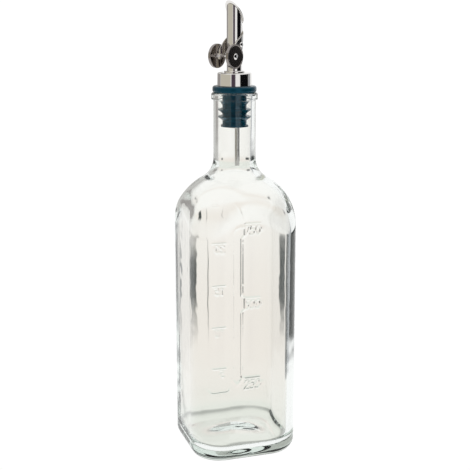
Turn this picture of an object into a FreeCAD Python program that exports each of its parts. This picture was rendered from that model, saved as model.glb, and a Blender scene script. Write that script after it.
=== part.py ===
import FreeCAD, Part
import math
import os

import Sketcher

# A square glass oil bottle with a push-in pourer: ribbed stopper, steel collar,
# slant-cut spout tube, vent tube and a hinged flap held shut by two round weights.
# Millimetres, +Z up, origin at the centre of the base. The bottle's faces look
# along X and Y. The pourer is drawn with its flap side along +X, then turned.

SIZES = {
    # bottle body
    "side": 77.0,
    "corner_radius": 21.5,
    "heel_radius": 8.5,
    "wall": 3.5,
    "floor_thickness": 6.5,
    "punt_radius": 24.0,
    "punt_depth": 2.5,
    "dome_height": 158.3,
    "dome_margin": 0.4,
    # bottle neck
    "glass_height": 257.5,
    "neck_radius": 14.8,
    "neck_root_radius": 5.0,
    "bore_radius": 11.5,
    "bore_root_radius": 3.0,
    "lip_radius": 16.2,
    "lip_height": 5.1,
    "lip_round": 1.9,
    "lip_under_round": 1.2,
    # raised scale on the front face
    "scale_relief": 0.6,
    "scale_sink": 0.8,
    "bar_width": 5.6,
    "bar_centre": -10.5,
    "bar_low": 58.7,
    "bar_high": 170.2,
    "bar_point": 4.0,
    "tick_left": -4.6,
    "tick_length": 10.2,
    "tick_width": 1.1,
    "tick_quarter": 62.5,
    "tick_half": 120.6,
    "tick_three_quarters": 172.6,
    # stopper
    "seal_clearance": 0.08,
    "seat_gap": 0.02,
    "stopper_drop": 23.5,
    "core_radius": 8.4,
    "flange_radius": 15.3,
    "flange_thickness": 4.5,
    "flange_round": 1.4,
    "top_rib_radius": 10.2,
    "top_rib_drop": 5.5,
    "sharp_rib_drop": 11.2,
    "seal_rib_drop": 16.1,
    "tail_rib_radius": 9.65,
    "tail_rib_height": 1.2,
    "rib_edge": 0.5,
    "rib_taper": 3.2,
    # collar and ferrule
    "collar_radius": 11.95,
    "collar_flare": 0.15,
    "collar_height": 9.0,
    "collar_wall": 0.8,
    "collar_round": 0.9,
    "ferrule_radius": 7.2,
    "ferrule_height": 1.2,
    "ferrule_round": 0.5,
    # spout tube and vent tube
    "tube_radius": 5.35,
    "tube_wall": 0.6,
    "tube_tail": 0.8,
    "tube_tip": 46.6,
    "cut_angle": 52.0,
    "vent_radius": 1.7,
    "vent_wall": 0.4,
    "vent_drop": 29.5,
    "vent_rise": 31.0,
    # flap, its pivot and its weights
    "pour_turn": 32.7,
    "sheet": 0.55,
    "flap_gap": 0.35,
    "lid_gap": 0.15,
    "lid_overhang": 0.9,
    "strap_width": 5.0,
    "strap_reach": 4.0,
    "ear_back_edge": 1.9,
    "ear_drop": 3.2,
    "ear_relief": 39.0,
    "ear_front_offset": 4.9,
    "ear_front_high": 21.0,
    "ear_slope": 42.0,
    "arm_half_width": 2.2,
    "pivot_high": 19.0,
    "pivot_radius": 1.0,
    "pivot_clearance": 0.06,
    "pivot_head_radius": 1.8,
    "pivot_head_height": 0.5,
    "axle_offset": 9.4,
    "axle_high": 11.4,
    "axle_radius": 0.7,
    "axle_head_radius": 2.1,
    "axle_head_height": 0.5,
    "weight_radius": 8.3,
    "weight_thickness": 2.2,
    "weight_round": 0.35,
    "hub_radius": 2.0,
    "hub_height": 0.4,
}

doc = FreeCAD.newDocument("oil_bottle")
sheet = doc.addObject("Spreadsheet::Sheet", "Sizes")
for row, (alias, value) in enumerate(SIZES.items(), start=1):
    sheet.set(f"A{row}", alias.replace("_", " "))
    sheet.set(f"B{row}", str(value))
    sheet.setAlias(f"B{row}", alias)
doc.recompute()


def size(expression):
    """Gives an expression in words of the sheet its full cell names."""
    words = [f"Sizes.{word}" if word in SIZES else word for word in expression.split()]
    return " ".join(words)


def number(expression):
    return float(sheet.evalExpression(size(expression)))


def bind(part, **properties):
    for name, expression in properties.items():
        part.setExpression(name.replace("__", "."), size(expression))


# Heights and half widths that several pieces share, in the words of the sheet.
REACH = "( ( side / 2 - corner_radius ) * sqrt(2) + corner_radius )"
LIP_TOP = "glass_height"
FLANGE_TOP = "( glass_height + flange_thickness )"
COLLAR_TOP = "( glass_height + flange_thickness + collar_height )"
CUT_SLOPE = "( tan( cut_angle * 1deg ) )"
CUT_MIDDLE = f"( {COLLAR_TOP} + tube_tip - tube_radius * {CUT_SLOPE} )"
PIVOT_Z = f"( {COLLAR_TOP} + pivot_high )"
AXLE_Z = f"( {COLLAR_TOP} + axle_high )"
EAR_INSIDE = "( tube_radius + flap_gap )"
EAR_OUTSIDE = "( tube_radius + flap_gap + sheet )"
WEIGHT_INSIDE = "( tube_radius + flap_gap + sheet + hub_height )"
WEIGHT_OUTSIDE = "( tube_radius + flap_gap + sheet + hub_height + weight_thickness )"


def body(name):
    return doc.addObject("PartDesign::Body", name)


def sketchOn(holder, role, name, lift="0", across="0"):
    """Starts a sketch on one of the body's own planes, lifted off it and moved across."""
    plane = next(one for one in holder.Origin.OriginFeatures if one.Role == role)
    sketch = holder.newObject("Sketcher::SketchObject", name)
    sketch.AttachmentSupport = (plane, [""])
    sketch.MapMode = "FlatFace"
    bind(sketch, AttachmentOffset__Base__x=across, AttachmentOffset__Base__z=lift)
    return sketch


def pin(sketch, geometry, point, axis, expression):
    """Holds one coordinate of a point at an expression's value."""
    if expression == "0":
        line = {"X": -2, "Y": -1}[axis]
        sketch.addConstraint(Sketcher.Constraint("PointOnObject", geometry, point, line))
        return
    value = number(expression)
    rule = Sketcher.Constraint("Distance" + axis, -1, 1, geometry, point, value)
    row = sketch.addConstraint(rule)
    sketch.setExpression(f"Constraints[{row}]", size(expression))


def outline(sketch, corners):
    """Draws a closed outline of straight edges through the corners."""
    first = sketch.GeometryCount
    spots = [FreeCAD.Vector(number(x), number(y), 0) for x, y in corners]
    for index, spot in enumerate(spots):
        sketch.addGeometry(Part.LineSegment(spot, spots[(index + 1) % len(spots)]), False)
    for index, (across, up) in enumerate(corners):
        following = first + (index + 1) % len(corners)
        meet = Sketcher.Constraint("Coincident", first + index, 2, following, 1)
        sketch.addConstraint(meet)
        pin(sketch, first + index, 1, "X", across)
        pin(sketch, first + index, 1, "Y", up)


def circle(sketch, across, up, radius):
    middle = FreeCAD.Vector(number(across), number(up), 0)
    edge = Part.Circle(middle, FreeCAD.Vector(0, 0, 1), number(radius))
    geometry = sketch.addGeometry(edge, False)
    pin(sketch, geometry, 3, "X", across)
    pin(sketch, geometry, 3, "Y", up)
    row = sketch.addConstraint(Sketcher.Constraint("Radius", geometry, number(radius)))
    sketch.setExpression(f"Constraints[{row}]", size(radius))


def pad(holder, sketch, length, symmetric=False):
    feature = holder.newObject("PartDesign::Pad", sketch.Name + "_pad")
    feature.Profile = sketch
    feature.SideType = "Symmetric" if symmetric else "One side"
    bind(feature, Length=length)
    return feature


def revolved(holder, sketch, corners):
    outline(sketch, corners)
    feature = holder.newObject("PartDesign::Revolution", holder.Name + "_turn")
    feature.Profile = sketch
    feature.ReferenceAxis = (sketch, ["V_Axis"])
    feature.Angle = 360
    doc.recompute()
    return holder


def turned(name, corners):
    """Turns (radius, height) corners about the upright axis."""
    holder = body(name)
    return revolved(holder, sketchOn(holder, "XZ_Plane", name + "_section"), corners)


def turnedAcross(name, corners, across, up):
    """Turns (radius, along) corners about a level axis that runs along Y."""
    holder = body(name)
    sketch = sketchOn(holder, "XY_Plane", name + "_section", up, across)
    return revolved(holder, sketch, corners)


def rounded(holder, radius, wanted):
    """Rounds every edge of the body's shape that the wanted test picks."""
    doc.recompute()
    base = holder.Tip
    edges = base.Shape.Edges
    names = [f"Edge{row}" for row, edge in enumerate(edges, start=1)
             if not edge.Degenerated and wanted(edge)]
    if not names:
        raise ValueError(f"{holder.Label} has no edge to round")
    feature = holder.newObject("PartDesign::Fillet", holder.Name + "_round")
    feature.Base = (base, names)
    bind(feature, Radius=radius)
    doc.recompute()
    return feature


def ringAt(radius, height):
    """Picks a whole circle about the upright axis by its length and height."""
    around = number(radius) * 2 * math.pi
    up = number(height)

    def test(edge):
        level = all(abs(end.Z - up) < 0.01 for end in edge.Vertexes)
        return level and abs(edge.Length - around) < 0.01

    return test


def upright(edge):
    """Picks straight edges that stand along Z."""
    if edge.Curve.TypeId != "Part::GeomLine":
        return False
    return abs(edge.Curve.Direction.z) > 0.99


def cylinder(name, radius, height, low="0", across="0"):
    piece = doc.addObject("Part::Cylinder", name)
    bind(piece, Radius=radius, Height=height)
    bind(piece, Placement__Base__x=across, Placement__Base__z=low)
    return piece


def crossPin(name, radius, across, up):
    """A long cylinder along Y at a place in the XZ plane, for drilling through."""
    piece = doc.addObject("Part::Cylinder", name)
    bind(piece, Radius=radius, Height="side")
    piece.Placement.Rotation = FreeCAD.Rotation(FreeCAD.Vector(1, 0, 0), -90)
    bind(piece, Placement__Base__x=across, Placement__Base__z=up)
    bind(piece, Placement__Base__y="0 - side / 2")
    return piece


def combine(kind, name, base, tools):
    """Joins shapes with Part::MultiFuse, or cuts or intersects a base with one tool."""
    piece = doc.addObject(kind, name)
    if kind in ("Part::MultiFuse", "Part::MultiCommon"):
        piece.Shapes = [base] + tools
    else:
        piece.Base = base
        piece.Tool = tools[0]
    doc.recompute()
    return piece


def form(name, inset, low):
    """The square form with a domed shoulder, used for the outside and the cavity."""
    half = f"( side / 2 - {inset} )"
    reach = f"( {REACH} + dome_margin - {inset} )"
    prism = body(name + "_prism")
    plan = sketchOn(prism, "XY_Plane", name + "_plan", low)
    outline(plan, [(f"0 - {half}", f"0 - {half}"), (half, f"0 - {half}"),
                   (half, half), (f"0 - {half}", half)])
    pad(prism, plan, f"dome_height + {reach} + wall - {low}")
    rounded(prism, f"corner_radius - {inset}", upright)
    floor = number(low)
    rounded(prism, f"heel_radius - {inset}",
            lambda edge: max(abs(end.Point.z - floor) for end in edge.Vertexes) < 0.01)
    drum = cylinder(name + "_drum", f"{reach} + wall", "dome_height + wall", "0 - wall")
    dome = doc.addObject("Part::Sphere", name + "_dome")
    bind(dome, Radius=reach, Placement__Base__z="dome_height")
    hood = combine("Part::MultiFuse", name + "_hood", drum, [dome])
    return combine("Part::Common", name + "_form", prism, [hood])


def makeBottle():
    neck = turned("bottle_neck", [
        ("0", "dome_height"),
        ("neck_radius", "dome_height"),
        ("neck_radius", f"{LIP_TOP} - lip_height"),
        ("lip_radius", f"{LIP_TOP} - lip_height"),
        ("lip_radius", LIP_TOP),
        ("0", LIP_TOP),
    ])
    rounded(neck, "lip_round", ringAt("lip_radius", LIP_TOP))
    rounded(neck, "lip_under_round", ringAt("lip_radius", f"{LIP_TOP} - lip_height"))
    outside = combine("Part::MultiFuse", "bottle_outside", form("outside", "0", "0"), [neck])
    bore = cylinder("bottle_bore", "bore_radius", f"{LIP_TOP} - dome_height + wall",
                    "dome_height")
    punt = doc.addObject("Part::Sphere", "bottle_punt")
    ball = "( ( punt_radius ^ 2 + punt_depth ^ 2 ) / ( 2 * punt_depth ) )"
    bind(punt, Radius=ball, Placement__Base__z=f"punt_depth - {ball}")
    cavity = form("cavity", "wall", "floor_thickness")
    hollow = combine("Part::MultiFuse", "bottle_hollow", cavity, [bore, punt])
    blown = combine("Part::Cut", "bottle_blown", outside, [hollow])

    bottle = body("glass_bottle")
    bottle.BaseFeature = blown
    doc.recompute()
    rootHigh = f"dome_height + sqrt( ( {REACH} + dome_margin ) ^ 2 - neck_radius ^ 2 )"
    rounded(bottle, "neck_root_radius", ringAt("neck_radius", rootHigh))
    boreHigh = f"dome_height + sqrt( ( {REACH} + dome_margin - wall ) ^ 2 - bore_radius ^ 2 )"
    rounded(bottle, "bore_root_radius", ringAt("bore_radius", boreHigh))

    scale = sketchOn(bottle, "XZ_Plane", "bottle_scale", "side / 2 - scale_sink")
    left = "( bar_centre - bar_width / 2 )"
    right = "( bar_centre + bar_width / 2 )"
    outline(scale, [(left, "bar_low + bar_point"), ("bar_centre", "bar_low"),
                    (right, "bar_low + bar_point"), (right, "bar_high"), (left, "bar_high")])
    for height in ("tick_quarter", "tick_half", "tick_three_quarters"):
        low = f"{height} - tick_width / 2"
        high = f"{height} + tick_width / 2"
        outline(scale, [("tick_left", low), ("tick_left + tick_length", low),
                        ("tick_left + tick_length", high), ("tick_left", high)])
    pad(bottle, scale, "scale_sink + scale_relief")
    return bottle


def makeStopper():
    seal = "bore_radius - seal_clearance"
    tail = f"{LIP_TOP} - stopper_drop"
    hole = "tube_radius + seat_gap"
    boss = "collar_radius - collar_flare - collar_wall - seat_gap"
    corners = [(hole, tail), ("tail_rib_radius", tail),
               ("tail_rib_radius", f"{tail} + tail_rib_height"),
               ("core_radius", f"{tail} + tail_rib_height")]
    ribs = (("seal_rib_drop", seal), ("sharp_rib_drop", seal),
            ("top_rib_drop", "top_rib_radius"))
    for drop, radius in ribs:
        high = f"{LIP_TOP} - {drop}"
        corners += [("core_radius", f"{high} - rib_taper"), (radius, f"{high} - rib_edge"),
                    (radius, high), ("core_radius", high)]
    corners += [("core_radius", LIP_TOP), ("flange_radius", LIP_TOP),
                ("flange_radius", FLANGE_TOP), (boss, FLANGE_TOP),
                (boss, f"{COLLAR_TOP} - collar_wall"), (hole, f"{COLLAR_TOP} - collar_wall")]
    stopper = turned("stopper", corners)
    rounded(stopper, "flange_round", ringAt("flange_radius", FLANGE_TOP))
    rounded(stopper, "flange_round", ringAt("flange_radius", LIP_TOP))
    return stopper


def makeCollar():
    top = "collar_radius - collar_flare"
    inside = f"{top} - collar_wall"
    under = f"{COLLAR_TOP} - collar_wall"
    hole = "tube_radius + seat_gap"
    collar = turned("collar", [
        (inside, FLANGE_TOP), ("collar_radius", FLANGE_TOP), (top, COLLAR_TOP),
        (hole, COLLAR_TOP), (hole, under), (inside, under)])
    rounded(collar, "collar_round", ringAt(top, COLLAR_TOP))
    return collar


def makeFerrule():
    high = f"{COLLAR_TOP} + ferrule_height"
    hole = "tube_radius + seat_gap"
    ferrule = turned("tube_ferrule", [
        (hole, COLLAR_TOP), ("ferrule_radius", COLLAR_TOP),
        ("ferrule_radius", high), (hole, high)])
    rounded(ferrule, "ferrule_round", ringAt("ferrule_radius", high))
    return ferrule


def makeSpoutTube():
    """A straight tube whose tip is cut on a slant, with two holes for the pivots."""
    low = f"( {LIP_TOP} - stopper_drop - tube_tail )"
    tube = body("spout_blank")
    section = sketchOn(tube, "XY_Plane", "spout_section", low)
    circle(section, "0", "0", "tube_radius")
    circle(section, "0", "0", "tube_radius - tube_wall")
    pad(tube, section, f"{COLLAR_TOP} + tube_tip - {low}")
    doc.recompute()
    slant = sketchOn(tube, "XZ_Plane", "spout_slant")
    reach = "( tube_radius * 2 )"
    outline(slant, [
        (f"0 - {reach}", f"{CUT_MIDDLE} + {reach} * {CUT_SLOPE}"),
        (reach, f"{CUT_MIDDLE} - {reach} * {CUT_SLOPE}"),
        (reach, f"{CUT_MIDDLE} + {reach} * {CUT_SLOPE}")])
    cut = tube.newObject("PartDesign::Pocket", "spout_cut")
    cut.Profile = slant
    cut.SideType = "Symmetric"
    bind(cut, Length="tube_radius * 4")
    hole = crossPin("spout_pivot_hole", "pivot_radius + seat_gap", "0", PIVOT_Z)
    return combine("Part::Cut", "spout_tube", tube, [hole])


def makeVentTube():
    """A thin air tube that lies along the flap side of the spout's bore."""
    low = f"( {LIP_TOP} - stopper_drop - vent_drop )"
    across = "tube_radius - tube_wall - vent_radius - seat_gap"
    vent = body("vent_tube")
    section = sketchOn(vent, "XY_Plane", "vent_section", low)
    circle(section, across, "0", "vent_radius")
    circle(section, across, "0", "vent_radius - vent_wall")
    pad(vent, section, f"{COLLAR_TOP} + vent_rise - {low}")
    return vent


def slantSlab(name, left, right, gap, thickness, width):
    """A flat slab parallel to the spout's slanted cut, across the whole width."""
    slab = body(name)
    section = sketchOn(slab, "XZ_Plane", name + "_section")
    low = f"{CUT_MIDDLE} + ( {gap} ) / cos( cut_angle * 1deg )"
    high = f"{CUT_MIDDLE} + ( {gap} + {thickness} ) / cos( cut_angle * 1deg )"
    outline(section, [(left, f"{low} - {left} * {CUT_SLOPE}"),
                      (right, f"{low} - {right} * {CUT_SLOPE}"),
                      (right, f"{high} - {right} * {CUT_SLOPE}"),
                      (left, f"{high} - {left} * {CUT_SLOPE}")])
    pad(slab, section, width, symmetric=True)
    doc.recompute()
    return slab


def stadium(name, radius, leg):
    """An upright half round with two straight flanks running towards -X."""
    low = COLLAR_TOP
    high = f"tube_tip + {radius}"
    ring = cylinder(name + "_ring", radius, high, low)
    flanks = doc.addObject("Part::Box", name + "_flanks")
    bind(flanks, Length=leg, Width=f"2 * {radius}", Height=high)
    bind(flanks, Placement__Base__x=f"0 - {leg}", Placement__Base__y=f"0 - {radius}")
    bind(flanks, Placement__Base__z=low)
    return combine("Part::MultiFuse", name, ring, [flanks])


def makeFlap():
    """One bent sheet: lid on the cut, strap behind the tube, ears down to the axle."""
    leg = "( axle_offset + arm_half_width )"
    wrap = combine("Part::Cut", "flap_wrap", stadium("flap_outer", EAR_OUTSIDE, leg),
                   [stadium("flap_inner", EAR_INSIDE, f"( {leg} + wall )")])
    side = body("flap_side")
    back = "( tube_radius * 2 )"
    front = "( 0 - ear_front_offset )"
    arm = "( 0 - axle_offset )"
    frontHigh = f"{COLLAR_TOP} + ear_front_high"
    backHigh = f"{frontHigh} + ( {back} + ear_front_offset ) * tan( ear_slope * 1deg )"
    relief = "tan( ear_relief * 1deg )"
    section = sketchOn(side, "XZ_Plane", "flap_side_section")
    outline(section, [
        ("ear_back_edge", f"{PIVOT_Z} - ear_drop"),
        ("ear_back_edge", f"{PIVOT_Z} + ear_back_edge * {relief}"),
        (back, f"{PIVOT_Z} + {back} * {relief}"),
        (back, backHigh),
        (front, frontHigh),
        (f"{arm} - arm_half_width", f"{AXLE_Z} + arm_half_width"),
        (f"{arm} - arm_half_width", f"{AXLE_Z} - arm_half_width"),
        (f"{arm} + arm_half_width", f"{AXLE_Z} - arm_half_width")])
    pad(side, section, "side", symmetric=True)
    doc.recompute()
    strap = slantSlab("flap_strap", "0", back, "lid_gap - strap_reach",
                      "strap_reach + sheet / 2", "strap_width")
    keep = combine("Part::MultiFuse", "flap_keep", side, [strap])
    ears = combine("Part::Common", "flap_ears", wrap, [keep])
    lidRadius = "( tube_radius + lid_overhang )"
    slab = slantSlab("flap_slab", f"( 0 - {back} )", back, "lid_gap", "sheet", f"2 * {back}")
    plug = cylinder("flap_plug", lidRadius, f"tube_tip + {lidRadius}", COLLAR_TOP)
    lid = combine("Part::Common", "flap_lid", slab, [plug])
    sheetMetal = combine("Part::MultiFuse", "flap_sheet", ears, [lid])
    pivot = crossPin("flap_pivot_hole", "pivot_radius + pivot_clearance", "0", PIVOT_Z)
    axle = crossPin("flap_axle_hole", "axle_radius + seat_gap", arm, AXLE_Z)
    holes = combine("Part::MultiFuse", "flap_holes", pivot, [axle])
    return combine("Part::Cut", "flap", sheetMetal, [holes])


def makePivots():
    """Two headed pins, one through each side of the tube and its ear."""
    inside = "( tube_radius - tube_wall )"
    under = f"( {EAR_OUTSIDE} + pivot_clearance )"
    pair = []
    for side, hand in (("left", "1"), ("right", "-1")):
        rivet = turnedAcross(f"{side}_pivot", [
            ("0", f"{hand} * ( {inside} - pivot_head_height )"),
            ("pivot_radius", f"{hand} * ( {inside} - pivot_head_height )"),
            ("pivot_radius", f"{hand} * {under}"),
            ("pivot_head_radius", f"{hand} * {under}"),
            ("pivot_head_radius", f"{hand} * ( {under} + pivot_head_height )"),
            ("0", f"{hand} * ( {under} + pivot_head_height )")], "0", PIVOT_Z)
        pair.append(rivet)
    return combine("Part::MultiFuse", "pivot_rivets", pair[0], pair[1:])


def makeAxle():
    """One rod across the flap's arms, with a riveted head outside each weight."""
    outer = f"( {WEIGHT_OUTSIDE} + axle_head_height )"
    return turnedAcross("weight_axle", [
        ("0", f"0 - {outer}"), ("axle_head_radius", f"0 - {outer}"),
        ("axle_head_radius", f"0 - {WEIGHT_OUTSIDE}"),
        ("axle_radius", f"0 - {WEIGHT_OUTSIDE}"), ("axle_radius", WEIGHT_OUTSIDE),
        ("axle_head_radius", WEIGHT_OUTSIDE), ("axle_head_radius", outer),
        ("0", outer)], "0 - axle_offset", AXLE_Z)


def makeWeight(name, hand):
    """A round weight with a low hub that spaces it from its ear."""
    hole = "axle_radius + seat_gap"
    near = f"{hand} * {EAR_OUTSIDE}"
    inner = f"{hand} * {WEIGHT_INSIDE}"
    outer = f"{hand} * {WEIGHT_OUTSIDE}"
    weight = turnedAcross(name, [
        (hole, near), ("hub_radius", near), ("hub_radius", inner),
        ("weight_radius", inner), ("weight_radius", outer), (hole, outer)],
        "0 - axle_offset", AXLE_Z)
    rim = number("weight_radius")
    rounded(weight, "weight_round",
            lambda edge: getattr(edge.Curve, "Radius", 0) > rim - 0.01)
    return weight


pourer = [
    makeStopper(),
    makeCollar(),
    makeFerrule(),
    makeSpoutTube(),
    makeVentTube(),
    makePivots(),
    makeFlap(),
    makeAxle(),
    makeWeight("left_counterweight", "1"),
    makeWeight("right_counterweight", "-1"),
]
for piece in pourer:
    bind(piece, Placement__Rotation__Angle="pour_turn")
nodes = [makeBottle()] + pourer
doc.recompute()

for item in doc.Objects:
    if "Invalid" in item.State or "Error" in item.State:
        raise RuntimeError(f"{item.Label} did not recompute: {item.State}")
for node in nodes:
    if node.Shape.isNull() or not node.Shape.isValid():
        raise RuntimeError(f"{node.Label} has no sound shape")

os.makedirs("parts", exist_ok=True)
for node in nodes:
    node.Shape.exportStep(f"parts/{node.Label}.step")
    box = node.Shape.BoundBox
    print(f"{node.Label}: {len(node.Shape.Solids)} solid(s), {node.Shape.Volume:.1f} mm3,"
          f" z {box.ZMin:.2f} to {box.ZMax:.2f}")
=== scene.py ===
import math

import bmesh
import bpy
import numpy as np
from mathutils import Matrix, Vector


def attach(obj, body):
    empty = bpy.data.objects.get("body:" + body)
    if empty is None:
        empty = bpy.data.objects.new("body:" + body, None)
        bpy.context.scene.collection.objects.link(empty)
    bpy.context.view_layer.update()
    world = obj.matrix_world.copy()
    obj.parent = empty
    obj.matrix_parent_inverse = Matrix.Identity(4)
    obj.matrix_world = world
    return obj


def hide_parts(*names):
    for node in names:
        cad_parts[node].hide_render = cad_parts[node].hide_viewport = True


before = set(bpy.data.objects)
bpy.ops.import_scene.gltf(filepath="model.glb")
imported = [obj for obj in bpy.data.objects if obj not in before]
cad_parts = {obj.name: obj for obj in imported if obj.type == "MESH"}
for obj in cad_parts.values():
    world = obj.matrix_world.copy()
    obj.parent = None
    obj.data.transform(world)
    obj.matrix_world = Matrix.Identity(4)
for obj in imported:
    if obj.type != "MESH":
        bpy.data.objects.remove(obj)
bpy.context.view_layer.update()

# Glass oil bottle with a weighted pourer. Lengths in the settings are millimetres,
# meshes are metres, +Z up. The litre scale is on the -Y face, ounces on the +Y face.

mm = 0.001
free = 1e3  # a cap or a distance that never counts
sharp = 1e-3  # a softness that rounds nothing
pourTurn = math.radians(32.7)  # the pourer's flap side, measured from +X
print("frame loaded:", len(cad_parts), "nodes")


def spaced(*stops):
    # start, then (end, steps) pairs: evenly spaced values through every stop once
    values = [np.array([float(stops[0])])]
    for end, steps in stops[1:]:
        values.append(np.linspace(values[-1][-1], end, steps + 1)[1:])
    return np.concatenate(values)


def filletArc(before, corner, after, radius, steps):
    # arc of the radius that touches both edges of a corner, with a support point each side
    toBefore = (before - corner) / np.linalg.norm(before - corner)
    toAfter = (after - corner) / np.linalg.norm(after - corner)
    half = math.acos(float(np.clip(toBefore @ toAfter, -1, 1))) / 2
    reach = radius / math.tan(half)
    middle = (toBefore + toAfter) / np.linalg.norm(toBefore + toAfter)
    centre = corner + middle * radius / math.sin(half)
    first = corner + toBefore * reach - centre
    last = corner + toAfter * reach - centre
    turn = math.pi - 2 * half
    t = np.linspace(0, 1, steps + 1)[:, None]
    arc = centre + (np.sin((1 - t) * turn) * first + np.sin(t * turn) * last) / math.sin(turn)
    support = radius * 0.15
    return np.vstack([arc[:1] + toBefore * support, arc, arc[-1:] + toAfter * support])


def roundedPath(corners, closed=True, steps=5):
    # straight runs between corners (radius, height, fillet), each corner replaced by the arc
    # of its fillet; a fillet of 0 keeps it sharp
    spots = np.array([corner[:2] for corner in corners], float)
    count = len(spots)
    parts = []
    for row, corner in enumerate(corners):
        before, spot, after = spots[row - 1], spots[row], spots[(row + 1) % count]
        fillet = corner[2]
        parts.append(filletArc(before, spot, after, fillet, steps) if fillet > 0 else spot[None])
    path = np.concatenate(parts)
    return np.vstack([path, path[:1]]) if closed else path


def pourerPlace(points):
    # turns the pourer's own X (flap side) and Y (axle) onto the bottle's axes
    turned = points.copy()
    turned[..., 0] = points[..., 0] * math.cos(pourTurn) - points[..., 1] * math.sin(pourTurn)
    turned[..., 1] = points[..., 0] * math.sin(pourTurn) + points[..., 1] * math.cos(pourTurn)
    return turned


def gridMesh(name, grids, sharpAngle=40):
    # each grid is (rows, columns, 3) in mm; repeated first rows, columns and poles are merged
    onePoint, sliver = 2e-7, 1e-8  # metres
    points = []
    quads = []
    start = 0
    for grid in grids:
        rows, columns = grid.shape[:2]
        i, j = np.meshgrid(np.arange(rows - 1), np.arange(columns - 1), indexing="ij")
        low = start + i * columns + j
        quads.append(np.stack([low, low + 1, low + columns + 1, low + columns], -1).reshape(-1, 4))
        points.append(grid.reshape(-1, 3))
        start += rows * columns
    mesh = bpy.data.meshes.new(name)
    mesh.from_pydata((np.concatenate(points) * mm).tolist(), [], np.concatenate(quads).tolist())
    work = bmesh.new()
    work.from_mesh(mesh)
    bmesh.ops.remove_doubles(work, verts=work.verts, dist=onePoint)
    bmesh.ops.dissolve_degenerate(work, edges=work.edges, dist=sliver)
    work.to_mesh(mesh)
    work.free()
    mesh.polygons.foreach_set("use_smooth", np.ones(len(mesh.polygons), bool))
    mesh.set_sharp_from_angle(angle=math.radians(sharpAngle))
    piece = bpy.data.objects.new(name, mesh)
    bpy.context.scene.collection.objects.link(piece)
    return piece


def turnedGrid(path, segments=96, centre=(0.0, 0.0, 0.0), across=False):
    # a (radius, along) path turned about Z, or about the axle's direction Y when across
    angle = np.linspace(0, 2 * math.pi, segments + 1)[None, :]
    radius, along = path[:, :1], path[:, 1:2]
    one, two, along = radius * np.cos(angle), radius * np.sin(angle), along + 0 * angle
    grid = np.stack([two, along, one] if across else [one, two, along], -1)
    return grid + np.array(centre)


def finish(piece, body, nodes, material):
    # gives a piece its material and its body, and hides the CAD nodes that it stands for
    piece.data.materials.clear()
    piece.data.materials.append(material)
    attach(piece, body)
    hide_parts(*nodes)
    print("made", piece.name, "with", len(piece.data.polygons), "faces")


class Wire:
    # one output socket; each operator adds a Math node, so a formula reads as a formula
    def __init__(self, tree, socket):
        self.tree = tree
        self.socket = socket

    def maths(self, operation, first, second):
        # first and second are wires or plain numbers
        node = self.tree.nodes.new("ShaderNodeMath")
        node.operation = operation
        for slot, value in zip(node.inputs, (first, second)):
            if isinstance(value, Wire):
                self.tree.links.new(value.socket, slot)
            else:
                slot.default_value = value
        return Wire(self.tree, node.outputs[0])

    def __add__(self, other):
        return self.maths("ADD", self, other)

    def __radd__(self, other):
        return self.maths("ADD", other, self)

    def __sub__(self, other):
        return self.maths("SUBTRACT", self, other)

    def __rsub__(self, other):
        return self.maths("SUBTRACT", other, self)

    def __mul__(self, other):
        return self.maths("MULTIPLY", self, other)

    def __rmul__(self, other):
        return self.maths("MULTIPLY", other, self)


class Nodes:
    # an empty node tree that every node but Math is added to
    def __init__(self, tree):
        self.tree = tree
        tree.nodes.clear()

    def add(self, kind, settings=None, sockets=None, out=0):
        # any node from its type, its settings and its sockets' wires or values; gives one output
        node = self.tree.nodes.new(kind)
        for key, value in (settings or {}).items():
            setattr(node, key, value)
        for key, value in (sockets or {}).items():
            if isinstance(value, Wire):
                self.tree.links.new(value.socket, node.inputs[key])
            else:
                node.inputs[key].default_value = value
        return Wire(self.tree, node.outputs[out]) if node.outputs else None

    def step(self, value, low, high):
        # 0 below low, 1 above high, smooth between
        return self.add("ShaderNodeMapRange", {"interpolation_type": "SMOOTHSTEP"},
                        {"Value": value, "From Min": low, "From Max": high})

    def between(self, value, low, high, soft):
        # 1 between low and high, with soft edges
        rise = self.step(value, low - soft, low + soft)
        return rise - self.step(value, high - soft, high + soft)

    def mix(self, factor, first, second):
        # the first colour at 0, the second at 1
        return self.add("ShaderNodeMix", {"data_type": "RGBA"},
                        {0: factor, 6: first, 7: second}, out=2)


def newMaterial(name):
    # an empty material and its node tree
    material = bpy.data.materials.new(name)
    material.use_nodes = True
    return material, Nodes(material.node_tree)


# stands before the front face, to its left and a little above the lip
camera = {"place": (-0.2169, -0.6708, 0.3200), "facing": (0.3011, 0.9296, -0.2118),
          "lens": 77.8, "shiftY": -0.0325}
lensData = bpy.data.cameras.new("camera")
lensData.sensor_width = 36.0
lensData.lens = camera["lens"]
lensData.shift_y = camera["shiftY"]
lensData.clip_start = 0.01
eye = bpy.data.objects.new("camera", lensData)
eye.location = camera["place"]
eye.rotation_euler = Vector(camera["facing"]).to_track_quat("-Z", "Y").to_euler()
bpy.context.scene.collection.objects.link(eye)
bpy.context.scene.camera = eye
print("camera set")


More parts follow.
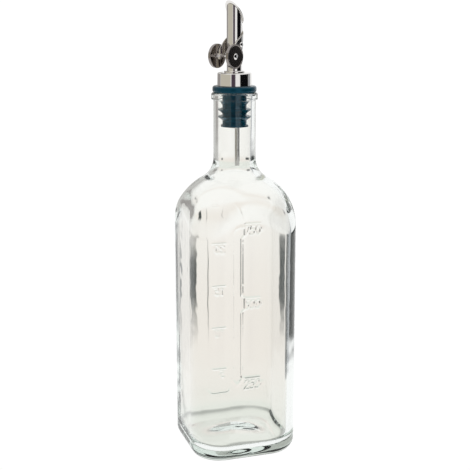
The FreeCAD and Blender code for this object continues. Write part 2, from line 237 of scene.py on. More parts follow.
def glassMaterial():
    # clear soda glass: faint green where the path through it is long, gently wavy surface
    material, nodes = newMaterial("bottleGlass")
    place = nodes.add("ShaderNodeTexCoord", out=3)
    ripple = nodes.add("ShaderNodeTexNoise", {"noise_dimensions": "3D"},
                       {"Vector": place, "Scale": 38.0, "Detail": 2.0, "Roughness": 0.4})
    bump = nodes.add("ShaderNodeBump", None,
                     {"Strength": 0.06, "Distance": 0.004, "Height": ripple})
    shell = nodes.add("ShaderNodeBsdfPrincipled", None,
                      {"Base Color": (0.985, 0.992, 0.988, 1), "Roughness": 0.0, "IOR": 1.5,
                       "Transmission Weight": 1.0, "Specular Tint": (0.5, 0.5, 0.5, 1),
                       "Normal": bump})
    depth = nodes.add("ShaderNodeVolumeAbsorption", None,
                      {"Color": (0.72, 0.80, 0.75, 1), "Density": 16.0})
    nodes.add("ShaderNodeOutputMaterial", None, {"Surface": shell, "Volume": depth})
    return material


bottle = {
    "half": 38.5, "corner": 21.5, "heel": 8.5, "wall": 3.5, "floor": 6.5,
    "punt": 24.0, "puntDepth": 2.5, "domeHigh": 158.3, "dome": 45.94, "archSoft": 2.4,
    "neck": 14.8, "neckRoot": 16.0, "bore": 11.5, "boreRoot": 12.0,
    "lip": 16.2, "lipLow": 252.4, "lipTop": 257.5, "mouthLow": 240.0, "cavityCorner": 20.5,
    "cavityHeel": 9.0, "floorRise": 0.5, "waver": 0.16, "waverLoss": 0.1, "waverTop": 236.0,
    "waverRun": 8.0, "shaft": 60.0, "puntPower": 1.4,
}
frontScale = {
    "left": -13.3, "right": -7.7, "middle": -10.5, "low": 58.7, "high": 170.2,
    "ticks": {250: 62.5, 500: 120.6, 750: 172.6}, "tickLeft": -4.6, "tickRight": 5.6,
    "tickHalf": 0.5, "proud": 0.6, "numberLeft": -5.2, "numberHigh": 6.4, "numberDrop": 1.5,
    "stroke": 0.36, "strokeSoft": 0.33, "channel": 1.3, "channelRun": 1.35, "rimRun": 2.4,
    "rimLeast": 0.3, "shoulder": 5.8, "shoulderAt": -7.5, "pointSlope": 1.2, "pointScale": 0.64,
    "flare": {250: 1.2, 500: 2.6, 750: 2.6}, "flareAbove": 3.4, "flareBelow": 10.6,
    "flareRun": 3.0, "tail": [(-6.6, 175.5), (-7.4, 179.0), (-8.6, 182.5), (-10.4, 186.0)],
}
backScale = {
    "middle": 3.6, "marks": 5, "perFive": 33.0, "first": 42.6, "tickLeft": -5.0,
    "tickRight": 5.0, "numberLeft": -3.2, "numberHigh": 5.6, "numberDrop": 1.4, "stroke": 0.4,
    "sunk": 0.5, "panel": 8.2, "panelLow": 23.5, "panelHigh": 176.0, "panelCorner": 4.0,
    "sideSlope": 0.35,
}


def squareReach(theta, half, corner):
    # distance from the axis to a square with rounded corners, by the angle theta
    longer = np.maximum(abs(np.cos(theta)), abs(np.sin(theta)))
    shorter = np.minimum(abs(np.cos(theta)), abs(np.sin(theta)))
    inner = half - corner
    flat = half / longer
    arc = inner * (longer + shorter)
    arc = arc + np.sqrt(np.maximum(corner**2 - inner**2 * (longer - shorter)**2, 0))
    return np.where(flat * shorter <= inner, flat, arc)


def softLesser(one, two, soft):
    # the smaller of two values, with the change between them rounded over soft
    share = np.clip(0.5 + 0.5 * (two - one) / soft, 0, 1)
    return two * (1 - share) + one * share - soft * share * (1 - share)


def digitStrokes(digit):
    # chains of points in a box 0.52 wide and 1 high: arcs of ellipses and straight runs
    def arc(x, y, wide, high, start, end):
        angle = np.radians(np.linspace(start, end, 12))
        return np.stack([x + wide * np.cos(angle), y + high * np.sin(angle)], -1)
    if digit == "0":
        return [arc(0.26, 0.5, 0.26, 0.5, 0, 360)]
    if digit == "1":
        return [np.array([(0.08, 0.78), (0.28, 1.0), (0.28, 0.0)])]
    if digit == "2":
        return [np.vstack([arc(0.26, 0.74, 0.25, 0.26, 170, -35), [(0.0, 0.0), (0.52, 0.0)]])]
    if digit == "5":
        return [np.vstack([[(0.48, 1.0), (0.08, 1.0), (0.04, 0.56)],
                           arc(0.24, 0.32, 0.27, 0.32, 120, -140)])]
    return [np.array([(0.0, 1.0), (0.52, 1.0), (0.18, 0.0)])]  # 7


def numberStrokes(number, left, top, high):
    # strokes of a whole number: each digit's box stands one pitch to the right of the last and
    # leans forward a little
    pitch, lean = 0.62, 0.10
    strokes = []
    for place, digit in enumerate(str(number)):
        for chain in digitStrokes(digit):
            across = left + high * (pitch * place + chain[:, 0] + lean * (chain[:, 1] - 0.5))
            strokes.append(np.stack([across, top - high * (1 - chain[:, 1])], -1))
    return strokes


def strokeDistance(x, z, strokes):
    # distance from every point to the nearest stroke: to the foot of its perpendicular on each
    # run, held between the run's ends
    spots = np.stack([x, z], -1)[:, None, :]
    nearest = np.full(x.shape, free)
    for chain in strokes:
        start, run = chain[:-1], chain[1:] - chain[:-1]
        along = ((spots - start) * run).sum(-1) / np.maximum((run**2).sum(-1), 1e-9)
        foot = start + np.clip(along, 0, 1)[..., None] * run
        nearest = np.minimum(nearest, np.linalg.norm(spots - foot, axis=-1).min(-1))
    return nearest


def smooth(t):
    # t t (3 - 2 t): 0 below 0, 1 above 1, with level ends
    t = np.clip(t, 0, 1)
    return t * t * (3 - 2 * t)


def ridge(distance, half, soft=0.3):
    # 1 inside a stroke's half width, falling smoothly to 0
    return smooth((half + soft - distance) / (2 * soft))


def barInside(x, z):
    # signed depth inside the bar: the least distance to its sides, its point and its round
    # shoulder; its right edge flares out beside each number
    s = frontScale
    right = np.full(x.shape, s["right"])
    for value, tick in s["ticks"].items():
        above = np.clip((tick + s["flareAbove"] - z) / s["flareAbove"], 0, 1)
        below = np.clip((z - tick + s["flareBelow"]) / s["flareRun"], 0, 1)
        right = np.maximum(right, s["right"] + s["flare"][value] * (above * below)**2)
    depth = np.minimum(x - s["left"], right - x)
    point = z - s["low"] - abs(x - s["middle"]) * s["pointSlope"]
    depth = np.minimum(depth, point * s["pointScale"])
    across = np.minimum(x - s["shoulderAt"], 0)
    up = np.maximum(z - s["high"] + s["shoulder"], 0)
    return np.minimum(depth, s["shoulder"] - np.hypot(across, up))


def frontRelief(x, z):
    # height above the front face: the greatest of ticks, numbers, the bar's rim and its tail,
    # less the bar's channel
    s = frontScale
    strokes = []
    numbers = []
    for value, tick in s["ticks"].items():
        strokes.append(np.array([(s["tickLeft"], tick), (s["tickRight"], tick)]))
        top = tick - s["numberDrop"]
        numbers += numberStrokes(value, s["numberLeft"], top, s["numberHigh"])
    height = ridge(strokeDistance(x, z, strokes), s["tickHalf"])
    lines = ridge(strokeDistance(x, z, numbers), s["stroke"], s["strokeSoft"])
    height = np.maximum(height, lines)
    # the bar: a low rim that falls gently outwards and steeply into a shallow channel
    depth = barInside(x, z)
    rim = s["rimLeast"] + (1 - s["rimLeast"]) * smooth((x - s["left"] - 1.2) / 2)
    height = np.maximum(height, rim * smooth((depth + s["rimRun"]) / s["rimRun"]))
    drop = rim + s["channel"] / s["proud"]
    height = height - drop * smooth((depth - 0.1) / s["channelRun"])
    tail = strokeDistance(x, z, [np.array(s["tail"])])
    height = np.maximum(height, 0.7 * ridge(tail, 0.3, 0.5))
    return s["proud"] * height


def backRelief(u, z):
    # depth of the ounce panel below the back face; its marks come back up to the face
    s = backScale
    u = u - s["middle"]
    sides = s["sideSlope"] * np.minimum(s["panel"] - abs(u), s["panelHigh"] - z)
    bend = s["panelCorner"]
    corner = np.hypot(np.maximum(abs(u) - s["panel"] + bend, 0),
                      np.maximum(s["panelLow"] + bend - z, 0))
    foot = np.minimum(bend - corner, sides + 0.4)
    inside = np.where(z < s["panelLow"] + bend, foot, sides)
    marks = []
    for row in range(s["marks"]):
        tick = s["first"] + row * s["perFive"]
        marks.append(np.array([(s["tickLeft"], tick), (s["tickRight"], tick)]))
        top = tick - s["numberDrop"]
        marks += numberStrokes(5 * (row + 1), s["numberLeft"], top, s["numberHigh"])
    raised = ridge(strokeDistance(u, z, marks), s["stroke"])
    return -s["sunk"] * ridge(-inside, 0.0, 0.45) * (1 - raised)


def wander(theta, z):
    # slow unevenness of the inside, between about -1 and 1: three waves round the axis that
    # turn with the height
    return (0.45 * np.sin(2 * theta + 0.021 * z + 0.7) + 0.3 * np.sin(3 * theta - 0.034 * z)
            + 0.25 * np.sin(5 * theta + 0.05 * z + 2.1))


def bottleColumns():
    # angles round the axis, close together where the scales are
    flat = bottle["half"] - bottle["corner"]
    turn = np.radians(np.linspace(0, 90, 19))[1:-1]
    front = spaced(-flat, (-13.4, 7), (-12.2, 5), (-8.9, 4), (-6.2, 14), (6.4, 38), (flat, 5))
    back = spaced(flat, (5.2, 4), (-12.4, 27), (-flat, 3))
    side = np.linspace(-flat, flat, 7)
    half, corner = bottle["half"], bottle["corner"]
    parts = [np.stack([front, 0 * front - half], -1)]
    parts.append(np.stack([flat + corner * np.sin(turn), -flat - corner * np.cos(turn)], -1))
    parts.append(np.stack([0 * side + half, side], -1))
    parts.append(np.stack([flat + corner * np.cos(turn), flat + corner * np.sin(turn)], -1))
    parts.append(np.stack([back, 0 * back + half], -1))
    parts.append(np.stack([-flat - corner * np.sin(turn), flat + corner * np.cos(turn)], -1))
    parts.append(np.stack([0 * side - half, -side], -1))
    parts.append(np.stack([-flat - corner * np.cos(turn), -flat - corner * np.sin(turn)], -1))
    ring = np.concatenate(parts)
    theta = np.unwrap(np.arctan2(ring[:, 1], ring[:, 0]))
    return np.append(theta, theta[0] + 2 * math.pi)


def bottleRows():
    # rows of (half, corner, cap, height, soft, inside): the wall's outline at each height is
    # the lesser of a rounded square and a circle of radius cap
    b = bottle
    softTurn = math.radians(22)  # the arch is fully soft above this rise
    rows = []

    def put(half, corner, cap, height, soft, inside):
        parts = np.broadcast_arrays(*[np.asarray(v, float) for v in
                                      (half, corner, cap, height, soft, inside)])
        rows.append(np.stack(parts, -1).reshape(-1, 6))

    # heel
    turn = np.radians(np.linspace(0, 90, 13))
    inset = b["heel"] * (1 - np.sin(turn))
    put(b["half"] - inset, b["corner"] - inset, free, b["heel"] * (1 - np.cos(turn)), sharp, 0)
    # wall
    wall = spaced(b["heel"], (22.5, 12), (25, 6), (35, 8), (43.5, 20), (53, 8), (63.5, 25),
                  (68, 4), (76.5, 20), (101, 20), (122, 50), (134.5, 10), (142.5, 19), (158.3, 13))
    put(b["half"], b["corner"], free, wall[1:], sharp, 0)
    # dome, by the angle up from its equator, then the neck's root
    levels = spaced(b["domeHigh"], (173.3, 34), (188, 24))
    rise = np.arcsin((levels - b["domeHigh"]) / b["dome"])
    rootHigh = math.sqrt((b["dome"] + b["neckRoot"])**2 - (b["neck"] + b["neckRoot"])**2)
    rootTurn = math.atan2(rootHigh, b["neck"] + b["neckRoot"])
    rise = np.append(rise[1:], np.linspace(rise[-1], rootTurn, 14)[1:])
    soft = b["archSoft"] * np.clip(rise / softTurn, 0.001, 1)
    put(b["half"], b["corner"], b["dome"] * np.cos(rise), b["domeHigh"] + b["dome"] * np.sin(rise),
        soft, 0)
    turn = np.linspace(rootTurn, 0, 10)[1:]
    put(b["half"], b["corner"], b["neck"] + b["neckRoot"] * (1 - np.cos(turn)),
        b["domeHigh"] + rootHigh - b["neckRoot"] * np.sin(turn), sharp, 0)
    # neck, lip and bore
    boreHigh = math.sqrt((b["dome"] - b["wall"] + b["boreRoot"])**2
                         - (b["bore"] + b["boreRoot"])**2)
    boreTurn = math.atan2(boreHigh, b["bore"] + b["boreRoot"])
    mouth = roundedPath([
        (b["neck"], b["domeHigh"] + rootHigh + 2, 0), (b["neck"], b["lipLow"], 0.45),
        (b["lip"], b["lipLow"], 0.9), (b["lip"], b["lipTop"], 1.9),
        (b["bore"], b["lipTop"], 0.9), (b["bore"], b["mouthLow"], 0)], closed=False, steps=6)
    put(b["half"], b["corner"], mouth[:, 0], mouth[:, 1], sharp, 0)
    down = np.linspace(b["mouthLow"], b["domeHigh"] + boreHigh, 20)[1:]
    put(b["half"], b["corner"], b["bore"], down, sharp, 1)
    turn = np.linspace(0, boreTurn, 8)[1:]
    put(b["half"], b["corner"], b["bore"] + b["boreRoot"] * (1 - np.cos(turn)),
        b["domeHigh"] + boreHigh - b["boreRoot"] * np.sin(turn), sharp, 1)
    # cavity
    inner = b["dome"] - b["wall"]
    half, corner = b["half"] - b["wall"], b["cavityCorner"]
    fall = np.linspace(boreTurn, 0, 34)[1:]
    soft = 3 * b["archSoft"] * np.clip(fall / softTurn, 0.001, 1)
    put(half, corner, inner * np.cos(fall), b["domeHigh"] + inner * np.sin(fall), soft, 1)
    heel = b["cavityHeel"]
    put(half, corner, free, np.linspace(b["domeHigh"], b["floor"] + heel, 40)[1:], sharp, 1)
    turn = np.radians(np.linspace(90, 0, 13))[1:]
    inset = heel * (1 - np.sin(turn))
    put(half - inset, corner - inset, free, b["floor"] + heel * (1 - np.cos(turn)), sharp, 1)
    return np.concatenate(rows)


def bottleGrid():
    # by the angle and the row: reach is the lesser of the rounded square and the circle, with
    # a little waver inside; the base and the cavity's floor close it at the axis
    b = bottle
    theta = bottleColumns()[None, :]
    half, corner, cap, height, soft, inside = [column[:, None] for column in bottleRows().T]
    reach = softLesser(squareReach(theta, half, corner), cap, soft)
    shaft = np.clip((height - b["domeHigh"]) / b["shaft"], 0, 1)
    low = np.clip((b["waverTop"] - height) / b["waverRun"], 0, 1)
    waver = b["waver"] - b["waverLoss"] * shaft
    reach = reach + inside * low * wander(theta, height) * waver
    height = height + 0 * theta
    # base: from the punt's centre out to the heel, and the cavity's floor back to its centre
    seat = squareReach(theta, b["half"] - b["heel"], b["corner"] - b["heel"])
    share = np.linspace(0, 1, 9)[:, None]
    puntReach = share * b["punt"] + 0 * theta
    puntHigh = b["puntDepth"] * (1 - share**2) ** b["puntPower"] + 0 * theta
    share = np.array([0.3, 0.7])[:, None]
    ringReach = b["punt"] + share * (seat - b["punt"])
    ringHigh = 0 * ringReach
    share = np.linspace(1, 0, 11)[1:, None]
    floorReach = share * reach[-1:]
    floorHigh = b["floor"] + b["floorRise"] * (1 - share**2)**2 + 0 * theta
    reach = np.vstack([puntReach, ringReach, reach, floorReach])
    height = np.vstack([puntHigh, ringHigh, height, floorHigh])
    return np.stack([reach * np.cos(theta), reach * np.sin(theta), height], -1)


def makeBottle():
    # the grid with both scales pressed into its outer face, by the height of their relief
    grid = bottleGrid()
    lipRow = np.argmax(grid[:, 0, 2])
    outside = np.arange(grid.shape[0])[:, None] < lipRow + 0 * grid[..., 0]
    x, y, z = grid[..., 0], grid[..., 1], grid[..., 2]
    onScale = outside & (z > 10) & (z < 190)
    front = onScale & (y < 0) & (abs(x + 4) < 12)
    grid[..., 1][front] -= frontRelief(x[front], z[front])
    back = onScale & (y > 0) & (abs(x + backScale["middle"]) < 10) & (z < 178)
    grid[..., 1][back] += backRelief(-x[back], z[back])
    piece = gridMesh("glassBottle", [grid], sharpAngle=180)
    piece.visible_shadow = False  # light reaches the stopper through the neck
    finish(piece, "bottle", ["glass_bottle"], glassMaterial())


makeBottle()


def rubberMaterial():
    # deep blue-green moulded rubber, satin, a little uneven
    material, nodes = newMaterial("stopperRubber")
    place = nodes.add("ShaderNodeTexCoord", out=3)
    cloud = nodes.add("ShaderNodeTexNoise", None, {"Vector": place, "Scale": 180.0, "Detail": 3.0})
    fine = nodes.add("ShaderNodeTexNoise", None, {"Vector": place, "Scale": 1600.0, "Detail": 2.0})
    colour = nodes.mix(cloud, (0.0010, 0.021, 0.034, 1), (0.0022, 0.032, 0.048, 1))
    bump = nodes.add("ShaderNodeBump", None, {"Strength": 0.12, "Distance": 0.0004, "Height": fine})
    skin = nodes.add("ShaderNodeBsdfPrincipled", None,
                     {"Base Color": colour, "Roughness": 0.12 + 0.1 * cloud, "IOR": 1.5,
                      "Specular IOR Level": 0.4, "Specular Tint": (0.2, 0.6, 1.0, 1),
                      "Normal": bump})
    nodes.add("ShaderNodeOutputMaterial", None, {"Surface": skin})
    return material


stopper = {
    "hole": 5.37, "core": 8.4, "tail": 234.0, "tailRib": 9.65, "tailBand": 1.2, "lipTop": 257.5,
    "flange": 15.3, "flangeTop": 262.0, "boss": 10.98, "bossTop": 270.2,
    "ribs": ((241.4, 11.42), (246.3, 11.42), (252.0, 10.2)), "taper": 3.2, "edge": 0.5,
}


def makeStopper():
    # a profile turned about the axis: tail, three barbed ribs, flange and the boss in the collar
    s = stopper
    corners = [(s["hole"], s["tail"], 0.2), (s["tailRib"], s["tail"], 0.3),
               (s["tailRib"], s["tail"] + s["tailBand"], 0.35),
               (s["core"], s["tail"] + s["tailBand"], 0.4)]
    for high, radius in s["ribs"]:
        corners += [(s["core"], high - s["taper"], 0.5), (radius, high - s["edge"], 0.14),
                    (radius, high, 0.14), (s["core"], high, 0.5)]
    corners += [(s["core"], s["lipTop"], 0.6), (s["flange"], s["lipTop"], 1.5),
                (s["flange"], s["flangeTop"], 1.6), (s["boss"], s["flangeTop"], 0.2),
                (s["boss"], s["bossTop"], 0.3), (s["hole"], s["bossTop"], 0.3)]
    path = roundedPath(corners, steps=4)
    piece = gridMesh("ribbedStopper", [turnedGrid(path, 112)], sharpAngle=60)
    finish(piece, "pourer", ["stopper"], rubberMaterial())


makeStopper()


def steelMaterial(name, base, rough, scratch):
    # polished stainless: fine wiping marks and faint smears in the gloss
    material, nodes = newMaterial(name)
    place = nodes.add("ShaderNodeTexCoord", out=3)
    stretched = nodes.add("ShaderNodeMapping", None,
                          {"Vector": place, "Scale": (1.0, 1.0, 9.0), "Rotation": (0.2, 0.1, 0.0)})
    marks = nodes.add("ShaderNodeTexNoise", None,
                      {"Vector": stretched, "Scale": 420.0, "Detail": 4.0, "Roughness": 0.65})
    smear = nodes.add("ShaderNodeTexNoise", None, {"Vector": place, "Scale": 130.0, "Detail": 2.0})
    bump = nodes.add("ShaderNodeBump", None,
                     {"Strength": scratch, "Distance": 0.0002, "Height": marks})
    colour = nodes.mix(smear, (*[0.96 * part for part in base], 1), (*base, 1))
    metal = nodes.add("ShaderNodeBsdfPrincipled", None,
                      {"Base Color": colour, "Metallic": 1.0,
                       "Roughness": rough + 0.05 * smear, "Normal": bump})
    nodes.add("ShaderNodeOutputMaterial", None, {"Surface": metal})
    return material


polished = steelMaterial("polishedSteel", (0.80, 0.785, 0.765), 0.05, 0.010)
ventSteel = steelMaterial("ventSteel", (0.50, 0.49, 0.47), 0.20, 0.08)
weightSteel = steelMaterial("weightSteel", (0.30, 0.275, 0.26), 0.08, 0.015)

collar = {"radius": 11.95, "top": 11.80, "low": 262.0, "high": 271.0, "wall": 0.8, "hole": 5.37}
ferrule = {"radius": 7.2, "low": 271.0, "high": 272.2, "hole": 5.37}


def makeCollar():
    # a drawn cap: a thin wall and a flat top with a hole, turned about the axis
    c = collar
    path = roundedPath([
        (c["top"] - c["wall"], c["low"], 0.2), (c["radius"], c["low"], 0.25),
        (c["top"], c["high"], 0.9), (c["hole"], c["high"], 0.12),
        (c["hole"], c["high"] - c["wall"], 0.12),
        (c["top"] - c["wall"], c["high"] - c["wall"], 0.3)], steps=6)
    piece = gridMesh("steelCollar", [turnedGrid(path, 128)], sharpAngle=60)
    finish(piece, "pourer", ["collar"], polished)


def makeFerrule():
    # a low ring turned about the axis
    f = ferrule
    path = roundedPath([
        (f["hole"], f["low"], 0.1), (f["radius"], f["low"], 0.1),
        (f["radius"], f["high"], 0.5), (f["hole"], f["high"], 0.3)], steps=5)
    piece = gridMesh("tubeFerrule", [turnedGrid(path, 96)], sharpAngle=60)
    finish(piece, "pourer", ["tube_ferrule"], polished)


makeCollar()
makeFerrule()

spout = {"radius": 5.35, "wall": 0.6, "low": 233.2, "middle": 310.75, "cut": math.radians(52),
         "edge": 0.12}
vent = {"radius": 1.7, "wall": 0.4, "low": 204.5, "high": 302.0, "across": 3.03}


def makeSpout():
    # a tube whose top is the plane z = middle - x tan(cut), so the tip is a long oval; in the
    # path, height 0 is the foot and 1 the cut
    s = spout
    path = roundedPath([
        (s["radius"] - s["wall"], 0, s["edge"]), (s["radius"], 0, s["edge"]),
        (s["radius"], 1, 0), (s["radius"] - 0.1, 1, 0), (s["radius"] - s["wall"] + 0.1, 1, 0),
        (s["radius"] - s["wall"], 1, 0)], steps=3)
    angle = np.linspace(0, 2 * math.pi, 97)[None, :]
    radius = path[:, :1]
    cutHigh = s["middle"] - radius * np.cos(angle) * math.tan(s["cut"])
    inset = np.where(abs(radius - s["radius"] + s["wall"] / 2) > 0.25, s["edge"], 0.0)
    lift = np.where(path[:, 1:] > 0.5, cutHigh - inset, s["low"] + path[:, 1:])
    grid = np.stack([radius * np.cos(angle), radius * np.sin(angle), lift], -1)
    piece = gridMesh("spoutTube", [pourerPlace(grid)], sharpAngle=50)
    finish(piece, "pourer", ["spout_tube"], polished)


def makeVent():
    # a thin tube beside the axis
    v = vent
    path = roundedPath([
        (v["radius"] - v["wall"], v["low"], 0.1), (v["radius"], v["low"], 0.12),
        (v["radius"], v["high"], 0.12), (v["radius"] - v["wall"], v["high"], 0.1)], steps=3)
    grid = turnedGrid(path, 48, (v["across"], 0, 0))
    piece = gridMesh("ventTube", [pourerPlace(grid)], sharpAngle=60)
    finish(piece, "pourer", ["vent_tube"], ventSteel)


makeSpout()
makeVent()

pivot = {"high": 290.0, "shank": 1.0, "head": 1.8, "inside": 4.25, "under": 6.31, "top": 6.81}
axle = {"across": -9.4, "high": 282.4, "shank": 0.7, "head": 2.1, "under": 8.85, "top": 9.35}
weight = {"radius": 8.3, "hub": 2.0, "near": 6.25, "inner": 6.65, "outer": 8.85, "round": 0.35,
          "hole": 0.72, "rimWidth": 0.65, "dish": 0.2}


def domed(radius, low, high, steps=7):
    # a low rivet head: an ellipse from its rim up to the axis
    turn = np.radians(np.linspace(8, 90, steps))
    return np.stack([radius * np.cos(turn), low + (high - low) * np.sin(turn)], -1)


def makePivots():
    # a headed pin each side of the tube, turned about the hinge line
    p = pivot
    grids = []
    for hand in (1, -1):
        head = domed(p["head"], p["under"], p["top"])
        path = np.vstack([[(0, p["inside"]), (p["shank"], p["inside"])],
                          [(p["shank"], p["under"]), (p["head"] - 0.1, p["under"])], head])
        path[-1, 0] = 0
        path = path[::hand] * np.array([1, hand])
        grids.append(pourerPlace(turnedGrid(path, 40, (0, 0, p["high"]), across=True)))
    piece = gridMesh("pivotRivets", grids, sharpAngle=45)
    finish(piece, "pourer", ["pivot_rivets"], polished)


def makeAxle():
    # a rod across the arms with a low domed head at each end
    a = axle
    head = domed(a["head"], a["under"], a["top"])
    head[-1, 0] = 0
    half = np.vstack([[(a["shank"], a["under"]), (a["head"] - 0.1, a["under"])], head])
    path = np.vstack([(half * np.array([1, -1]))[::-1], half])
    grid = turnedGrid(path, 40, (a["across"], 0, a["high"]), across=True)
    piece = gridMesh("weightAxle", [pourerPlace(grid)], sharpAngle=45)
    finish(piece, "flap", ["weight_axle"], polished)


def makeWeight(name, node, hand):
    # turned disc: hub on the flap's side, flat rim round a shallow dish on the outer face
    w = weight
    rim = w["radius"] - w["rimWidth"]
    corners = [(w["hole"], w["near"], 0.05), (w["hub"], w["near"], 0.1),
               (w["hub"], w["inner"], 0.1), (w["radius"], w["inner"], w["round"]),
               (w["radius"], w["outer"], w["round"]), (rim, w["outer"], 0.12),
               (rim - 0.35, w["outer"] - w["dish"], 0.12),
               (w["hole"], w["outer"] - w["dish"], 0.05)]
    path = roundedPath(corners, steps=4)
    path = path[::hand] * np.array([1, hand])
    grid = turnedGrid(path, 96, (axle["across"], 0, axle["high"]), across=True)
    piece = gridMesh(name, [pourerPlace(grid)], sharpAngle=50)
    finish(piece, "flap", [node], weightSteel)


makePivots()
makeAxle()
makeWeight("leftWeight", "left_counterweight", 1)
makeWeight("rightWeight", "right_counterweight", -1)

flap = {
    "middle": 5.975, "sheet": 0.55, "front": -11.6, "armRound": 2.2, "footBack": 1.45,
    "armLow": 280.2, "armBack": -7.2, "armHigh": 284.6, "strapReach": 6.0, "strapLift": 0.25,
    "earLow": 286.8, "earFront": -4.9, "earFrontHigh": 292.0, "slope": math.radians(36),
    "relief": math.radians(39), "strapHalf": 2.5, "strapSoft": 0.4, "lidGap": 0.15,
    "lidRadius": 6.25, "edge": 0.1,
}


def flapWrap():
    # the bent sheet: along a U-shaped plan, from the lower outline to the upper one, both
    # outlines being heights by x
    f = flap
    leg = -f["front"]
    straight = spaced(0.0, (0.5, 5), (2.2, 6), (leg + f["earFront"], 8), (leg, 10))
    turn = np.radians(spaced(-90, (-65, 8), (-20, 10), (20, 10), (65, 10), (90, 8)))
    x = np.concatenate([f["front"] + straight, f["middle"] * np.cos(turn)[1:-1],
                        f["front"] + straight[::-1]])
    y = np.concatenate([0 * straight - f["middle"], f["middle"] * np.sin(turn)[1:-1],
                        0 * straight + f["middle"]])
    arm = axle["across"]
    # lower outline: level under the axle, rising to the foot, then up behind the tube
    rise = (f["earLow"] - f["armLow"]) / (f["footBack"] - f["armBack"])
    low = f["armLow"] + np.clip(x - f["armBack"], 0, None) * rise
    behind = pivot["high"] + x * math.tan(f["relief"])
    step = np.clip((x - f["footBack"] + 0.1) / 0.5, 0, 1)
    low = low * (1 - step) + behind * step
    # upper outline: from the arm's end up the front edge, then the long slope to the back
    climb = f["earFrontHigh"] - f["armHigh"]
    front = f["armHigh"] + (x - f["front"]) * climb / (f["earFront"] - f["front"])
    back = f["earFrontHigh"] + (x - f["earFront"]) * math.tan(f["slope"])
    high = np.where(x < f["earFront"], front, back)
    # round end of the arm
    bow = np.sqrt(np.clip(f["armRound"]**2 - np.clip(arm - x, 0, None)**2, 0.0001, None))
    end = x < arm
    low = np.where(end, axle["high"] - bow, low)
    high = np.where(end, np.minimum(axle["high"] + bow, high), high)
    soft = f["strapSoft"]
    strap = np.clip((f["strapHalf"] + soft - abs(y)) / (2 * soft), 0, 1) * (x > 0)
    strapHigh = spout["middle"] - f["strapReach"] * math.tan(spout["cut"]) + f["strapLift"]
    high = high * (1 - strap) + np.maximum(high, strapHigh) * strap
    share = np.linspace(0, 1, 15)[:, None]
    return np.stack([x + 0 * share, y + 0 * share, low * (1 - share) + high * share], -1)


def lidSheet():
    # flat oval plate parallel to the cut, z = middle + lift - x tan(cut): a circle from above
    f = flap
    radius = spaced(0.0, (f["lidRadius"] - 0.05, 10))[:, None]
    angle = np.linspace(0, 2 * math.pi, 81)[None, :]
    x, y = radius * np.cos(angle), radius * np.sin(angle)
    lift = (f["lidGap"] + f["sheet"] / 2) / math.cos(spout["cut"])
    return np.stack([x, y, spout["middle"] + lift - x * math.tan(spout["cut"])], -1)


def makeFlap():
    # one sheet: the wrap and the lid, given their thickness and a fine edge by modifiers
    piece = gridMesh("pourFlap", [pourerPlace(flapWrap()), pourerPlace(lidSheet())])
    wall = piece.modifiers.new("wall", "SOLIDIFY")
    wall.thickness = flap["sheet"] * mm
    wall.offset = 0
    edge = piece.modifiers.new("edge", "BEVEL")
    edge.width = flap["edge"] * mm
    edge.segments = 2
    edge.limit_method = "ANGLE"
    edge.angle_limit = math.radians(50)
    finish(piece, "flap", ["flap"], polished)


makeFlap()


table = {"reach": 900.0, "top": -0.3, "glow": 1.02}


def makeFloor():
    # a white disc under the bottle, bright enough to melt into the backdrop
    radius = spaced(0.0, (table["reach"], 12))[:, None]
    angle = np.linspace(0, 2 * math.pi, 65)[None, :]
    high = table["top"] + 0 * radius * angle
    grid = np.stack([radius * np.cos(angle), radius * np.sin(angle), high], -1)
    floor = gridMesh("floor", [grid])
    material, nodes = newMaterial("whiteTable")
    glow = nodes.add("ShaderNodeEmission", None, {"Color": (1, 1, 1, 1), "Strength": table["glow"]})
    nodes.add("ShaderNodeOutputMaterial", None, {"Surface": glow})
    floor.data.materials.append(material)
    floor.visible_transmission = False  # the glass shows the even room behind it
    print("table made")


room = {
    "toCamera": (-0.297, -0.955, 0.0), "aside": (0.955, -0.297, 0.0), "backdrop": 1.05,
    "bands": {"tall": (-0.345, 0.45), "low": (-0.33, -0.16), "high": (-0.2, 0.3),
              "level": (-0.13, 0.16)},
    # from, to and softness in degrees, 0 behind the camera and positive to its right, then
    # the band of heights and the colour
    "walls": [
        (37, 104, 3, "high", (0.004, 0.004, 0.005, 1)),
        (105, 128, 3, "tall", (0.40, 0.41, 0.43, 1)),
        (128, 170, 2, "low", (0.004, 0.010, 0.008, 1)),
        (-22, 6, 4, "tall", (0.075, 0.055, 0.075, 1)),
        (-106, -26, 3, "tall", (0.60, 0.57, 0.485, 1)),
        (-200, -111, 3, "tall", (0.55, 0.54, 0.52, 1)),
        (-150, -108, 3, "level", (0.35, 0.33, 0.32, 1))],
    # from, to and softness in degrees, then the same for the rise
    "strips": [
        (157.5, 169, 0.5, -0.305, -0.215, 0.03),
        (125, 148.5, 1, -0.36, -0.19, 0.01),
        (-169.5, -166, 0.3, -0.305, -0.232, 0.03)],
    "stripColour": (0.012, 0.02, 0.018, 1),
    # rise of the lower and the upper end of each change of the pale backdrop, and its colours
    "skyHigh": (-0.31, -0.13, (1.0, 0.975, 0.945, 1)),
    "skyMiddle": (0.90, 0.84, 0.785, 1),
    "skyLow": (-0.43, -0.33, (0.82, 0.825, 0.765, 1)),
    "under": (-0.64, -0.56, 0.5),
}


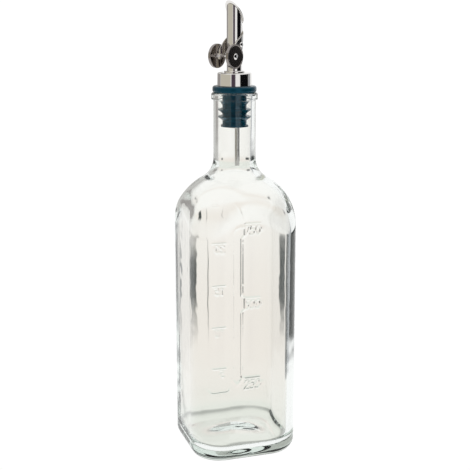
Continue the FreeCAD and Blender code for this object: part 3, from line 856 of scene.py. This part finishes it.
def makeRoom():
    # studio: white with coloured walls that mirrored rays see. What shows straight through the
    # glass is a pale backdrop with narrow dark strips. The camera and matt surfaces see white.
    world = bpy.data.worlds.new("studio")
    bpy.context.scene.world = world
    world.use_nodes = True
    nodes = Nodes(world.node_tree)
    white = (1.0, 1.0, 1.0, 1)
    direction = nodes.add("ShaderNodeTexCoord", out=0)

    def along(axis):
        # the part of the direction along an axis
        return nodes.add("ShaderNodeVectorMath", {"operation": "DOT_PRODUCT"},
                         {0: direction, 1: axis}, out=1)

    aside = along(room["aside"])
    rise = along((0.0, 0.0, 1.0))
    turn = aside.maths("ARCTAN2", aside, along(room["toCamera"])) * (180 / math.pi)
    bands = {name: nodes.between(rise, low, high, 0.02)
             for name, (low, high) in room["bands"].items()}
    mirrored = white
    for start, end, soft, band, colour in room["walls"]:
        wall = nodes.between(turn, start, end, soft) * bands[band]
        mirrored = nodes.mix(wall, mirrored, colour)
    low, high, share = room["under"]
    strip = share * (1 - nodes.step(rise, low, high))
    for start, end, soft, low, high, softRise in room["strips"]:
        strip = strip + (nodes.between(turn, start, end, soft)
                         * nodes.between(rise, low, high, softRise))
    low, high, colour = room["skyHigh"]
    sky = nodes.mix(nodes.step(rise, low, high), room["skyMiddle"], colour)
    low, high, colour = room["skyLow"]
    sky = nodes.mix(nodes.step(rise, low, high), colour, sky)
    behind = nodes.mix(strip, sky, room["stripColour"])
    ray = {name: nodes.add("ShaderNodeLightPath", out=name) for name in
           ("Is Camera Ray", "Is Diffuse Ray", "Is Transmission Ray", "Glossy Depth")}
    straight = nodes.step(1 - ray["Glossy Depth"], 0.4, 0.6) * ray["Is Transmission Ray"]
    colour = nodes.mix(straight, mirrored, behind)
    colour = nodes.mix(ray["Is Diffuse Ray"], colour, white)
    colour = nodes.mix(ray["Is Camera Ray"], colour, (*[room["backdrop"]] * 3, 1))
    light = nodes.add("ShaderNodeBackground", None, {"Color": colour, "Strength": 1.0})
    nodes.add("ShaderNodeOutputWorld", None, {"Surface": light})
    scene = bpy.context.scene
    scene.view_settings.view_transform = "Standard"
    scene.cycles.max_bounces = 24
    scene.cycles.transmission_bounces = 24
    scene.cycles.glossy_bounces = 16
    print("room made")


makeFloor()
makeRoom()
